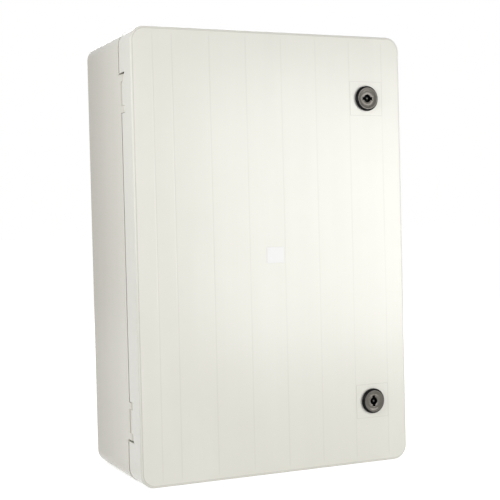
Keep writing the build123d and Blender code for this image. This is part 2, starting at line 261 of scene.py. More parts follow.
class Paint(NodeSheet):
    """One material: a Principled shader and the nodes that feed it."""

    def __init__(self, name: str) -> None:
        """Starts a material with only a Principled shader and its output."""
        self.material = bpy.data.materials.new(name)
        self.material.use_nodes = True
        super().__init__(self.material.node_tree)
        self.shader = self.nodes.new("ShaderNodeBsdfPrincipled")
        output = self.nodes.new("ShaderNodeOutputMaterial")
        self.links.new(self.shader.outputs["BSDF"], output.inputs["Surface"])

    def place(self) -> Field:
        """Object coordinates as one vector, in metres."""
        return self.node("ShaderNodeTexCoord", result="Object")

    def axes(self) -> Tuple[Field, Field, Field]:
        """Object coordinates as three numbers, in metres."""
        across = self.node("ShaderNodeSeparateXYZ", values={0: self.place()})
        return across, across.output(1), across.output(2)

    def stretched(self, stretch: Point3) -> Field:
        """Object coordinates scaled by a different factor along each axis."""
        return self.node("ShaderNodeVectorMath", {"operation": "MULTIPLY"}, {0: self.place(), 1: stretch})

    def noise(
        self, scale: float, detail: float = 3.0, rough: float = 0.5, stretch: Point3 = (1, 1, 1)
    ) -> Field:
        """Cloudy pattern between 0 and 1.

        Args:
            scale: Patches per metre.
            detail: Octaves of finer patches.
            rough: Weight of the finer patches.
            stretch: Further scale along each axis.

        Returns:
            The pattern.
        """
        values = {"Vector": self.stretched(stretch), "Scale": scale, "Detail": detail, "Roughness": rough}
        return self.node("ShaderNodeTexNoise", values=values)

    def cells(self, scale: float, feature: str = "F1", stretch: Point3 = (1, 1, 1)) -> Field:
        """Distance to the nearest of scattered points.

        Args:
            scale: Points per metre.
            feature: The Voronoi node's feature.
            stretch: Further scale along each axis.

        Returns:
            The distance.
        """
        values = {"Vector": self.stretched(stretch), "Scale": scale}
        return self.node("ShaderNodeTexVoronoi", {"feature": feature}, values, "Distance")

    def relief(self, *layers: Tuple[Field, float]) -> Field:
        """Normal of a surface with several reliefs on it.

        Args:
            layers: Each relief between 0 and 1, with its depth in metres.

        Returns:
            The normal.
        """
        normal: Optional[Field] = None
        for height, depth in layers:
            values: Dict[Union[int, str], object] = {"Height": height, "Distance": depth, "Strength": 1.0}
            if normal is not None:
                values["Normal"] = normal
            normal = self.node("ShaderNodeBump", values=values)
        return normal

    def dress(self, **sockets: object) -> bpy.types.Material:
        """Feeds the Principled shader.

        Args:
            sockets: Values by socket name, with spaces written as underscores.

        Returns:
            The finished material.
        """
        for name, value in sockets.items():
            self.feed(self.shader.inputs[name.replace("_", " ")], value)
        return self.material


@dataclass(frozen=True)
class MouldedPlastic:
    """Glossy light plastic, straight from a polished mould, with painted shade that darkens its colour a
    little towards the wall.
    """

    name: str = "moulded_plastic"
    colour: Colour = (0.735, 0.716, 0.630)
    shade: Colour = (0.705, 0.686, 0.600)
    # Painted shade: the colour darkens towards the wall, standing in for light that falls off towards the
    # back.
    wall_tone: Colour = (0.490, 0.466, 0.386)
    wall_reach: Point2 = (-165.0 * MM, 15.0 * MM)
    wall_share: float = 0.85
    # Colour of the dark specks, and of the painted shade lines.
    grime: Colour = (0.42, 0.40, 0.35)
    speck_share: float = 0.25
    index: float = 1.52
    roughness: float = 0.20
    handled_roughness: float = 0.02
    flow_roughness: float = 0.03
    peel_depth: float = 0.006 * MM
    wave_depth: float = 0.06 * MM
    streak_depth: float = 0.010 * MM

    def surface(
        self, paint: Paint, painted_shade: Scalar = 0.0, *extra: Tuple[Field, float]
    ) -> bpy.types.Material:
        """Colour, gloss and relief of the plastic.

        Args:
            paint: The material to fill.
            painted_shade: Where shade is painted in as a darker colour.
            extra: Further reliefs and their depths.

        Returns:
            The finished material.
        """
        _, through, _ = paint.axes()
        clouds = paint.noise(7.0, 4.0, 0.55)
        flow = paint.noise(30.0, 3.0, 0.5, (1.0, 1.0, 0.06))
        handling = paint.noise(16.0, 5.0, 0.6).ramp(0.45, 0.80)
        streaks = paint.noise(210.0, 2.0, 0.6, (1.0, 1.0, 0.012))
        specks = paint.cells(260.0).ramp(0.10, 0.04) * paint.noise(40.0, 2.0).ramp(0.60, 0.72)
        tone = (clouds * 0.6 + flow * 0.4).ramp(0.30, 0.70)
        # Painted shade: darker colour towards the wall.
        wall_shading = through.ramp(*self.wall_reach) * self.wall_share
        shaded_colour = paint.blend(wall_shading, paint.blend(tone, self.shade, self.colour), self.wall_tone)
        # Specks and the painted shade passed in both darken the colour.
        colour = paint.blend(specks * self.speck_share + painted_shade, shaded_colour, self.grime)
        rough = self.roughness + self.handled_roughness * handling + self.flow_roughness * flow
        normal = paint.relief(
            (paint.noise(9.0, 1.0, 0.3), self.wave_depth),
            (paint.noise(620.0, 2.0, 0.4), self.peel_depth),
            (streaks, self.streak_depth),
            *extra,
        )
        return paint.dress(Base_Color=colour, Roughness=rough, Normal=normal, IOR=self.index)

    def material(self) -> bpy.types.Material:
        """The plain plastic."""
        return self.surface(Paint(self.name))


@dataclass(frozen=True)
class RibbedPanelPlastic(MouldedPlastic):
    """The same plastic where ribs behind a panel draw faint sunk lines on its front."""

    name: str = "door_plastic"
    colour: Colour = (0.800, 0.792, 0.722)
    shade: Colour = (0.772, 0.762, 0.690)
    wall_share: float = 0.0
    rib_count: int = 6
    rib_pitch: float = 52.3 * MM
    last_rib: float = 118.2 * MM
    wall_line: float = 170.0 * MM
    line_half: float = 1.6 * MM
    reach: float = 288.0 * MM
    reach_fade: float = 6.0 * MM
    front: float = -199.0 * MM
    front_fade: float = 1.0 * MM
    sink_depth: float = 0.085 * MM
    ring_half: Point2 = (196.7 * MM, 296.7 * MM)
    ring_corner: float = 16.7 * MM
    pad_centre: Point2 = LOCK_PLACE
    pad_half: Point2 = (25.2 * MM, 23.5 * MM)
    pad_corner: float = 1.0 * MM
    border_half: float = 0.8 * MM
    # Painted shade: how dark the lines at the panel step, round the lock pads and along the sunk rib lines
    # are painted.
    ring_dirt: float = 0.42
    pad_dirt: float = 0.22
    line_dirt: float = 0.13

    def border(self, side: Field, rise: Field, half: Point2, corner: float) -> Field:
        """Thin line along the outline of a rounded rectangle.

        Args:
            side: Distance from its middle across.
            rise: Distance from its middle up.
            half: Half its width and height.
            corner: Radius of its corners.

        Returns:
            The line.
        """
        past, over = side - (half[0] - corner), rise - (half[1] - corner)
        outer, upper = past.math("MAXIMUM", 0.0), over.math("MAXIMUM", 0.0)
        inner = past.math("MAXIMUM", over).math("MINIMUM", 0.0)
        return ((outer * outer + upper * upper).math("SQRT") + inner).hill(corner, self.border_half)

    def material(self) -> bpy.types.Material:
        """The plastic with its sunk lines, and painted shade: thin dark lines at the panel step, round the
        lock pads and along the sunk lines.
        """
        paint = Paint(self.name)
        across, through, up = paint.axes()
        lines = across.hill(self.wall_line, self.line_half) + across.hill(-self.wall_line, self.line_half)
        for rib in range(self.rib_count):
            lines = lines + across.hill(self.last_rib - rib * self.rib_pitch, self.line_half)
        face = through.ramp(self.front + self.front_fade, self.front)
        inside = abs(up).ramp(self.reach + self.reach_fade, self.reach) * face
        uneven = 0.45 + 0.55 * paint.noise(5.0, 3.0, 0.5, (1.0, 1.0, 1.6)).ramp(0.25, 0.75)
        sunk = lines * inside * uneven
        ring = self.border(abs(across), abs(up), self.ring_half, self.ring_corner)
        beside, above = abs(across - self.pad_centre[0]), abs(abs(up) - self.pad_centre[1])
        pads = self.border(beside, above, self.pad_half, self.pad_corner)
        # Painted shade in thin dark lines at the panel step, round the lock pads and along the sunk lines.
        painted_shade = face * (ring * self.ring_dirt + pads * self.pad_dirt + sunk * self.line_dirt)
        return self.surface(paint, painted_shade, (1.0 - sunk, self.sink_depth))


@dataclass(frozen=True)
class BlackPlastic:
    """Moulded black plastic with fine grain and dust."""

    name: str
    roughness: float = 0.16
    grain: float = 0.01 * MM
    colour: Colour = (0.006, 0.006, 0.007)
    dust_colour: Colour = (0.045, 0.043, 0.040)
    dust_share: float = 0.35
    rubbed_roughness: float = 0.12
    dust_roughness: float = 0.10
    shine: float = 0.07
    polish: Colour = (0.160, 0.149, 0.132)
    metal_share: float = 0.33

    def material(self) -> bpy.types.Material:
        """Black with fine grain, dust and rubbed patches."""
        return self.surface(Paint(self.name))

    def surface(self, paint: Paint, polished: Scalar = 0.0) -> bpy.types.Material:
        """Colour, gloss and relief of the black.

        Args:
            paint: The material to fill.
            polished: Where the surface is polished to a dark metallic shine.

        Returns:
            The finished material.
        """
        rubbed = paint.noise(180.0, 4.0, 0.6).ramp(0.45, 0.75)
        dust = paint.noise(900.0, 3.0, 0.6).ramp(0.58, 0.80)
        colour = paint.blend(dust * self.dust_share, self.colour, self.dust_colour)
        rough = self.roughness + self.rubbed_roughness * rubbed + self.dust_roughness * dust
        normal = paint.relief((paint.noise(1500.0, 2.0), self.grain))
        if isinstance(polished, Field):
            colour = paint.blend(polished, colour, self.polish)
            paint.dress(Metallic=polished * self.metal_share)
        return paint.dress(Base_Color=colour, Roughness=rough, Specular_IOR_Level=self.shine, Normal=normal)


@dataclass(frozen=True)
class LockFinish(BlackPlastic):
    """Black lock with a polished dished face and a bare key pin."""

    centre: Point2 = LOCK_PLACE
    face_radius: float = 15.0 * MM
    face_level: float = -204.1 * MM
    face_blur: float = 0.3 * MM
    face_rise: float = 0.15 * MM
    pin_radius: float = 1.6 * MM
    pin_level: float = -203.4 * MM
    pin_blur: float = 0.1 * MM
    pin_share: float = 0.55

    def material(self) -> bpy.types.Material:
        """The finish of both locks, masked by the distance from the nearer lock's axis."""
        paint = Paint(self.name)
        across, through, up = paint.axes()
        side, rise = across - self.centre[0], abs(up) - self.centre[1]
        radius = (side * side + rise * rise).math("SQRT")
        face = radius.ramp(self.face_radius + self.face_blur, self.face_radius - self.face_blur)
        face = face * through.ramp(self.face_level, self.face_level - self.face_rise)
        pin = radius.ramp(self.pin_radius + self.pin_blur, self.pin_radius)
        pin = pin * through.ramp(self.pin_level, self.pin_level - self.pin_blur)
        worn = 0.80 + 0.20 * paint.noise(260.0, 4.0, 0.6)
        return self.surface(paint, (face * worn).math("MAXIMUM", pin * self.pin_share))


@dataclass(frozen=True)
class PlatedMetal:
    """Sheet or turned metal with a fine directional grain and a plated bloom."""

    name: str
    light: Colour
    dark: Colour
    roughness: float
    grain: Axis = Axis.Z
    grain_stretch: float = 0.04
    bloom_roughness: float = 0.12
    grain_roughness: float = 0.08
    scratch_roughness: float = 0.06
    spangle: float = 0.0
    spangle_gain: float = 1.22
    spangle_gloss: float = 0.12

    def material(self) -> bpy.types.Material:
        """Metal with its grain, bloom, spangles and light scratches."""
        paint = Paint(self.name)
        stretch = [1.0, 1.0, 1.0]
        stretch[self.grain.value] = self.grain_stretch
        grain = paint.noise(1400.0, 3.0, 0.6, tuple(stretch))
        bloom = paint.noise(22.0, 5.0, 0.6)
        shine = paint.cells(85.0).ramp(0.1, 0.8)
        tone = (bloom * 0.5 + grain * 0.5).ramp(0.25, 0.75)
        base = paint.blend(tone, self.dark, self.light)
        bright = tuple(min(1.0, part * self.spangle_gain) for part in self.light)
        colour = paint.blend(shine * self.spangle, base, bright)
        scratches = paint.cells(60.0, "DISTANCE_TO_EDGE", (1.0, 1.0, 0.12)).ramp(0.010, 0.002)
        rough = self.roughness + self.bloom_roughness * bloom + self.grain_roughness * grain
        rough = rough - self.spangle * self.spangle_gloss * shine + self.scratch_roughness * scratches
        normal = paint.relief((grain, 0.004 * MM), (1.0 - scratches, 0.006 * MM))
        return paint.dress(Base_Color=colour, Roughness=rough, Metallic=1.0, Normal=normal)


@dataclass(frozen=True)
class SoftSeal:
    """Rubber or poured foam."""

    name: str
    colour: Colour
    pale: Colour
    roughness: float
    pore_scale: float
    pore_depth: float

    def material(self) -> bpy.types.Material:
        """Matt soft surface with fine pores and pale handling marks."""
        paint = Paint(self.name)
        pores = paint.cells(self.pore_scale).ramp(0.05, 0.55)
        skin = paint.noise(90.0, 4.0, 0.6)
        colour = paint.blend(skin.ramp(0.40, 0.80) * 0.6 + pores * 0.2, self.colour, self.pale)
        normal = paint.relief((skin, 0.10 * MM), (pores, self.pore_depth))
        return paint.dress(Base_Color=colour, Roughness=self.roughness + 0.12 * skin, Normal=normal, IOR=1.45)


@dataclass(frozen=True)
class LabelFilm:
    """Plain white film with nothing printed on it."""

    name: str = "label_film"
    colour: Colour = (0.90, 0.90, 0.89)
    grained: Colour = (0.86, 0.86, 0.85)
    # Painted shade: the colour of the darker band along the cut edge.
    edge: Colour = (0.52, 0.51, 0.48)
    centre: Point2 = (-0.8 * MM, -2.0 * MM)
    half: Point2 = (13.0 * MM, 11.0 * MM)
    edge_width: float = 0.5 * MM
    edge_share: float = 0.8
    roughness: float = 0.34

    def material(self) -> bpy.types.Material:
        """White film with painted shade along its cut edge, and a fine grain."""
        paint = Paint(self.name)
        across, _, up = paint.axes()
        side = abs(across - self.centre[0]).ramp(self.half[0] - self.edge_width, self.half[0])
        end = abs(up - self.centre[1]).ramp(self.half[1] - self.edge_width, self.half[1])
        grain = paint.noise(2500.0, 3.0, 0.6)
        lift = paint.noise(110.0, 2.0, 0.5)
        film = paint.blend(grain, self.grained, self.colour)
        # Painted shade along the cut edge.
        colour = paint.blend(side.math("MAXIMUM", end) * self.edge_share, film, self.edge)
        normal = paint.relief((lift, 0.05 * MM), (grain, 0.004 * MM))
        return paint.dress(Base_Color=colour, Roughness=self.roughness + 0.10 * lift, Normal=normal)


class Bench:
    """Modelling moves that every new piece uses."""

    @staticmethod
    def clear() -> None:
        """Leaves edit mode and deselects everything."""
        if bpy.context.object and bpy.context.object.mode != "OBJECT":
            bpy.ops.object.mode_set(mode="OBJECT")
        bpy.ops.object.select_all(action="DESELECT")

    @staticmethod
    def only(piece: bpy.types.Object) -> None:
        """Selects one piece and makes it active."""
        Bench.clear()
        piece.select_set(True)
        bpy.context.view_layer.objects.active = piece

    @staticmethod
    def named(name: str) -> bpy.types.Object:
        """Names the piece that was added last, and its mesh."""
        piece = bpy.context.object
        piece.name = name
        piece.data.name = name
        return piece

    @staticmethod
    def settle(piece: bpy.types.Object) -> None:
        """Puts a piece's place, turn and scale into its mesh."""
        Bench.only(piece)
        bpy.ops.object.transform_apply(location=True, rotation=True, scale=True)

    @staticmethod
    def weld(piece: bpy.types.Object, distance: float = DOUBLES) -> None:
        """Merges doubled points and turns every face outwards."""
        Bench.only(piece)
        bpy.ops.object.mode_set(mode="EDIT")
        bpy.ops.mesh.select_all(action="SELECT")
        bpy.ops.mesh.remove_doubles(threshold=distance)
        bpy.ops.mesh.normals_make_consistent(inside=False)
        bpy.ops.object.mode_set(mode="OBJECT")

    @staticmethod
    def smooth(piece: bpy.types.Object, degrees: float = 32.0) -> None:
        """Shades a piece smooth, apart from edges sharper than the angle."""
        Bench.only(piece)
        bpy.ops.object.shade_smooth_by_angle(angle=math.radians(degrees))

    @staticmethod
    def block(spot: Point3, size: Point3, turn: float = 0.0) -> bpy.types.Object:
        """Adds a rectangular tool.

        Args:
            spot: Its middle in metres.
            size: Its size in millimetres across, out of the door and up.
            turn: Turn about an axis out of the door, in radians.

        Returns:
            The tool.
        """
        Bench.clear()
        bpy.ops.mesh.primitive_cube_add(size=1, location=spot, rotation=(0, turn, 0))
        tool = Bench.named("tool")
        tool.scale = tuple(side * MM for side in size)
        Bench.settle(tool)
        return tool

    @staticmethod
    def combine(piece: bpy.types.Object, tool: bpy.types.Object, operation: str = "DIFFERENCE") -> None:
        """Cuts a piece with a closed tool, or joins the two, and removes the tool.

        Args:
            piece: The piece that is changed.
            tool: The closed shape.
            operation: The Boolean modifier's operation.
        """
        Bench.only(piece)
        modifier = piece.modifiers.new("combine", "BOOLEAN")
        modifier.operation = operation
        modifier.solver = "EXACT"
        modifier.object = tool
        bpy.ops.object.modifier_apply(modifier=modifier.name)
        bpy.data.objects.remove(tool)

    @staticmethod
    def soften(piece: bpy.types.Object, width: float, segments: int = 2, degrees: float = 40.0) -> None:
        """Rounds the sharp edges of a piece.

        Args:
            piece: The piece.
            width: Width of the rounding in metres.
            segments: Faces across it.
            degrees: Only edges sharper than this are rounded.
        """
        Bench.only(piece)
        modifier = piece.modifiers.new("soften", "BEVEL")
        modifier.width = width
        modifier.segments = segments
        modifier.limit_method = "ANGLE"
        modifier.angle_limit = math.radians(degrees)
        bpy.ops.object.modifier_apply(modifier=modifier.name)

    @staticmethod
    def copies(piece: bpy.types.Object, moves: Sequence[Point3]) -> bpy.types.Object:
        """Copies a piece, each copy with its own mesh, and joins them all into it.

        Args:
            piece: The first one.
            moves: How far each copy stands from it, in metres.

        Returns:
            The joined piece.
        """
        made = [piece]
        for move in moves:
            Bench.only(piece)
            bpy.ops.object.duplicate(linked=False)
            copy = bpy.context.object
            copy.location = move
            Bench.settle(copy)
            made.append(copy)
        Bench.only(piece)
        for copy in made[1:]:
            copy.select_set(True)
        bpy.ops.object.join()
        return piece

    @staticmethod
    def fit(piece: bpy.types.Object, node: str, body: str, finish: str) -> bpy.types.Object:
        """Puts a finished piece in the place of its CAD node.

        Args:
            piece: The finished piece.
            node: The CAD node that it replaces.
            body: The body that it rides on.
            finish: Its material slot.

        Returns:
            The piece.
        """
        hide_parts(node)
        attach(piece, body)
        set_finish(piece, finish)
        return piece


@dataclass
class Turning:
    """A turned shape about an axis out of the door, drawn as a ring along its section."""

    name: str
    centre: Point3
    steps: int = 96
    pole: float = 0.01

    def rounded(self, corners: Sequence[Point3], facets: int = 4) -> List[Point2]:
        """Rounds the corners of a section.

        Args:
            corners: Radius, height and rounding of each corner, in millimetres, round the section.
            facets: Faces on each rounding.

        Returns:
            The section's points.
        """
        outline: List[Point2] = []
        count = len(corners)
        for place, (radius, height, rounding) in enumerate(corners):
            here = Vector((radius, height))
            if rounding <= 0:
                outline.append((max(radius, self.pole), height))
                continue
            back = (Vector(corners[place - 1][:2]) - here).normalized()
            ahead = (Vector(corners[(place + 1) % count][:2]) - here).normalized()
            half = back.angle(ahead) / 2
            middle = here + (back + ahead).normalized() * (rounding / math.sin(half))
            start = here + back * (rounding / math.tan(half)) - middle
            turn = start.angle_signed(here + ahead * (rounding / math.tan(half)) - middle)
            for facet in range(facets + 1):
                arm = start.copy()
                arm.rotate(Matrix.Rotation(-turn * facet / facets, 2))
                outline.append(tuple(middle + arm))
        return outline

    def build(self, corners: Sequence[Point3]) -> bpy.types.Object:
        """Turns a section, which is closed unless it starts and ends on the axis.

        Args:
            corners: Radius, height in front of the centre and rounding of each corner, in millimetres.

        Returns:
            The turned piece.
        """
        outline = self.rounded(corners)
        solid = corners[0][0] == 0
        radius, height = outline[0]
        Bench.clear()
        x, y, z = self.centre
        bpy.ops.mesh.primitive_circle_add(
            vertices=self.steps, radius=radius * MM, location=(x, y - height * MM, z),
            rotation=(math.pi / 2, 0, 0),
        )
        piece = Bench.named(self.name)
        bpy.ops.object.mode_set(mode="EDIT")
        bpy.ops.mesh.select_all(action="SELECT")
        for next_radius, next_height in outline[1:] if solid else [*outline[1:], outline[0]]:
            rise = (0, -(next_height - height) * MM, 0)
            bpy.ops.mesh.extrude_region_move(TRANSFORM_OT_translate={"value": rise})
            ratio = next_radius / radius
            bpy.ops.transform.resize(value=(ratio, 1, ratio), center_override=(x, y - next_height * MM, z))
            radius, height = next_radius, next_height
        bpy.ops.object.mode_set(mode="OBJECT")
        Bench.settle(piece)
        # The two ends of a solid are tiny rings, a pole's two radii across, that close to a point.
        Bench.weld(piece, 2.1 * self.pole * MM if solid else DOUBLES)
        return piece


@dataclass
class Screw:
    """Pan-head screw with a cross recess and a rolled thread."""

    name: str
    seat: Point3
    facing: Facing
    head_radius: float
    head_height: float
    shank_radius: float
    shank_length: float
    pitch: float = 0.8
    thread_depth: float = 0.35
    thread_start: float = 0.6
    thread_margin: float = 1.2
    point_taper: float = 0.5
    recess_width: float = 1.1
    recess_depth: float = 1.5
    tool_margin: float = 0.5

    def build(self) -> bpy.types.Object:
        """Turns the screw and cuts its recess.

        Returns:
            The screw.
        """
        head, rise, shank = self.head_radius, self.head_height, self.shank_radius
        thread: List[Point3] = []
        for ridge in range(int((self.shank_length - self.thread_margin) / self.pitch)):
            level = -self.thread_start - ridge * self.pitch
            thread += [(shank, level, 0.0), (shank - self.thread_depth, level - self.pitch / 2, 0.0)]
        section = [
            (0.0, rise, 0.0), (0.74 * head, 0.94 * rise, 0.34 * head),
            (head, 0.5 * rise, 0.2 * head), (head, 0.0, 0.12), (shank, 0.0, 0.0), *thread,
            (shank - self.point_taper, -self.shank_length, 0.0), (0.0, -self.shank_length, 0.0),
        ]
        way = self.facing.value
        turned = [(radius, way * level, rounding) for radius, level, rounding in section]
        screw = Turning(self.name, self.seat, 48).build(turned)
        x, y, z = self.seat
        middle = (x, y - way * (rise - self.recess_depth / 2 + self.tool_margin) * MM, z)
        wing = (1.05 * head, self.recess_depth + 2 * self.tool_margin, self.recess_width)
        for turn in (0.0, math.pi / 2):
            Bench.combine(screw, Bench.block(middle, wing, turn))
        Bench.weld(screw)
        Bench.soften(screw, 0.07 * MM, 1, 50)
        Bench.smooth(screw)
        return screw


@dataclass
class DoorLock:
    """One quarter-turn lock: housing, rotor, nut and cam screw, in millimetres apart from the seat."""

    place: Place
    wings_level: bool
    seat: float = 200.3 * MM
    head_radius: float = 17.5
    head_back: float = 1.0
    head_edge: float = 2.9
    chamfer: float = 2.2
    rim_level: float = 5.5
    rim_inset: float = 3.5
    slope_inset: float = 4.6
    slope_level: float = 4.75
    dish_radius: float = 10.5
    dish_floor: float = 4.0
    body_radius: float = 11.0
    flat: float = 10.2
    body_length: float = 19.6
    thread_pitch: float = 1.5
    thread_depth: float = 0.6
    thread_start: float = 5.2
    thread_margin: float = 1.2
    recess: float = 10.05
    bore: float = 8.85
    disc_radius: float = 10.0
    rotor_radius: float = 8.8
    rotor_end: float = 20.0
    groove: Point2 = (-8.05, -9.95)
    groove_depth: float = 1.4
    key_radius: float = 5.5
    wing_span: float = 15.4
    wing_width: float = 4.4
    keyway_depth: float = 7.5
    pin_radius: float = 1.5
    pin_drop: float = 0.7
    flange: float = 2.3
    play: float = 0.05
    shank: float = 7.0
    shank_end: float = 22.8
    shank_overlap: float = 0.1
    screw_hole: float = 2.05
    screw_hole_end: float = 11.5
    drill_end: float = 25.0
    cam_front: float = 24.0
    nut_levels: Point2 = (-5.3, -10.3)
    nut_flats: float = 28.0
    nut_face: float = 1.4
    nut_chamfer: float = 0.9
    nut_excess: float = 0.3
    cutter: Point2 = (30.0, 4.0)
    cutter_margin: float = 0.5
    centre: Point3 = field(init=False)

    def __post_init__(self) -> None:
        """Works out the middle of the pad's face under the head."""
        across, up = LOCK_PLACE
        self.centre = (across, -self.seat, self.place.value * up)

    def spot(self, level: float, rise: float = 0.0) -> Point3:
        """Point on the lock's axis at a level in front of the pad, or above it, from millimetres."""
        x, y, z = self.centre
        return (x, y - level * MM, z + rise * MM)

    def plug(self, levels: Point2, radius: float, rounding: Point2, steps: int) -> bpy.types.Object:
        """Round tool on the lock's axis.

        Args:
            levels: Levels of its front and back ends, in millimetres.
            radius: Its radius.
            rounding: Rounding of its front and back edges.
            steps: Faces round it.

        Returns:
            The tool.
        """
        front, back = levels
        edges = [(radius, front, rounding[0]), (radius, back, rounding[1])]
        return Turning("tool", self.centre, steps).build([(0.0, front, 0.0), *edges, (0.0, back, 0.0)])

    def housing(self) -> bpy.types.Object:
        """Chamfered head with a shallow dish, on a threaded body with two flats."""
        head, rim, body, floor = self.head_radius, self.rim_level, self.body_radius, self.dish_floor
        thread: List[Point3] = []
        level = self.thread_margin - self.body_length
        while level < -self.thread_start:
            thread += [(body, level, 0.0), (body - self.thread_depth, level + self.thread_pitch / 2, 0.0)]
            level += self.thread_pitch
        section = [
            (body, self.head_back, 0.0), (head, self.head_back, 0.3),
            (head, self.head_edge, 0.5), (head - self.chamfer, rim, 0.4),
            (head - self.rim_inset, rim, 0.3), (head - self.slope_inset, self.slope_level, 0.8),
            (self.dish_radius, floor, 0.2), (self.recess, floor, 0.0),
            (self.recess, floor - self.flange, 0.0), (self.bore, floor - self.flange, 0.0),
            (self.bore, -self.body_length, 0.25), (body - self.thread_depth, -self.body_length, 0.2),
            *thread, (body, level, 0.0),
        ]
        piece = Turning(f"{self.place.word}_lock_head", self.centre).build(section)
        width, depth = self.cutter
        for side in (1, -1):
            middle = self.spot(self.cutter_margin - self.body_length / 2, side * (self.flat + depth / 2))
            block = Bench.block(middle, (width, self.body_length + 2 * self.cutter_margin, depth))
            Bench.combine(piece, block)
        Bench.weld(piece)
        Bench.smooth(piece)
        return piece

    def rotor(self) -> bpy.types.Object:
        """Turned rotor with a winged keyway, the pin that stands in it and a square shank."""
        body, floor, seat = self.rotor_radius, self.dish_floor, self.dish_floor - self.flange + self.play
        near, far = self.groove
        section = [
            (0.0, floor, 0.0), (self.disc_radius, floor, 0.35),
            (self.disc_radius, seat, 0.15), (body, seat, 0.0),
            (body, near, 0.1), (body - self.groove_depth, near, 0.1),
            (body - self.groove_depth, far, 0.1), (body, far, 0.1),
            (body, -self.rotor_end, 0.3), (self.screw_hole, -self.rotor_end, 0.0),
            (self.screw_hole, -self.screw_hole_end, 0.0), (0.0, -self.screw_hole_end, 0.0),
        ]
        piece = Turning(f"{self.place.word}_rotor", self.centre).build(section)
        turn = 0.0 if self.wings_level else math.pi / 2
        middle = self.spot(floor - self.keyway_depth / 2 + self.cutter_margin)
        wing = (self.wing_span, self.keyway_depth + 2 * self.cutter_margin, self.wing_width)
        wings = Bench.block(middle, wing, turn)
        Bench.soften(wings, 0.9 * MM, 4, 60)
        Bench.combine(piece, wings)
        bottom = floor - self.keyway_depth
        Bench.combine(piece, self.plug((floor + 1.0, bottom), self.key_radius, (0.0, 0.3), 48))
        pin = self.plug((floor - self.pin_drop, bottom - 0.3), self.pin_radius, (0.5, 0.0), 32)
        Bench.combine(piece, pin, "UNION")
        shank = Bench.block(
            self.spot(-(self.rotor_end + self.shank_end) / 2 + self.shank_overlap / 2),
            (self.shank, self.shank_end - self.rotor_end + self.shank_overlap, self.shank),
        )
        drill = self.plug((-self.rotor_end + 1, -self.drill_end), self.screw_hole, (0.0, 0.0), 96)
        Bench.combine(shank, drill)
        Bench.combine(piece, shank, "UNION")
        Bench.weld(piece)
        Bench.soften(piece, 0.2 * MM, 2, 50)
        Bench.smooth(piece)
        return piece

    def nut(self) -> bpy.types.Object:
        """Hexagon nut, chamfered at both faces."""
        near, far = self.nut_levels
        bore, corner = self.body_radius + self.play, self.nut_flats / math.sqrt(3)
        face, outside = corner - self.nut_face, corner + self.nut_excess
        section = [
            (bore, near, 0.2), (face, near, 0.1), (outside, near - self.nut_chamfer, 0.0),
            (outside, far + self.nut_chamfer, 0.0), (face, far, 0.1), (bore, far, 0.2),
        ]
        piece = Turning(f"{self.place.word}_nut", self.centre).build(section)
        Bench.clear()
        bpy.ops.mesh.primitive_cylinder_add(
            vertices=6, radius=corner * MM, depth=(near - far + 2) * MM,
            location=self.spot((near + far) / 2), rotation=(math.pi / 2, math.pi / 6, 0),
        )
        prism = Bench.named("tool")
        Bench.settle(prism)
        Bench.combine(piece, prism, "INTERSECT")
        Bench.weld(piece)
        Bench.soften(piece, 0.15 * MM, 2, 28)
        Bench.smooth(piece)
        return piece

    def cam_screw(self) -> bpy.types.Object:
        """Screw that holds the cam on the rotor's shank."""
        screw = Screw(
            f"{self.place.word}_pan_screw", self.spot(-self.cam_front), Facing.WALL,
            head_radius=4.0, head_height=2.6, shank_radius=2.0, shank_length=11.8,
        )
        return screw.build()

    def build(self) -> List[bpy.types.Object]:
        """Builds the pieces and puts them on their bodies."""
        word = self.place.word
        return [
            Bench.fit(self.housing(), f"{word}_lock_housing", "door", "lock_black"),
            Bench.fit(self.rotor(), f"{word}_lock_rotor", f"{word}_lock", "rotor_black"),
            Bench.fit(self.nut(), f"{word}_lock_nut", "door", "nut_black"),
            Bench.fit(self.cam_screw(), f"{word}_cam_screw", f"{word}_lock", "screw_steel"),
        ]


@dataclass
class PlateScrews:
    """The six screws that hold the mounting plate on its bosses."""

    half_width: float = 145.0 * MM
    row_pitch: float = 245.0 * MM
    plate_front: float = -20.0 * MM

    def build(self) -> List[bpy.types.Object]:
        """Makes one screw and copies it to the other five bosses."""
        seat = (-self.half_width, self.plate_front, -self.row_pitch)
        first = Screw(
            "plate_screw_set", seat, Facing.FRONT,
            head_radius=4.6, head_height=3.2, shank_radius=2.4, shank_length=9.8,
        )
        moves = [
            (column * 2 * self.half_width, 0.0, row * self.row_pitch)
            for column in range(2) for row in range(3) if (column, row) != (0, 0)
        ]
        screws = Bench.copies(first.build(), moves)
        return [Bench.fit(screws, "plate_screws", "base", "screw_steel")]


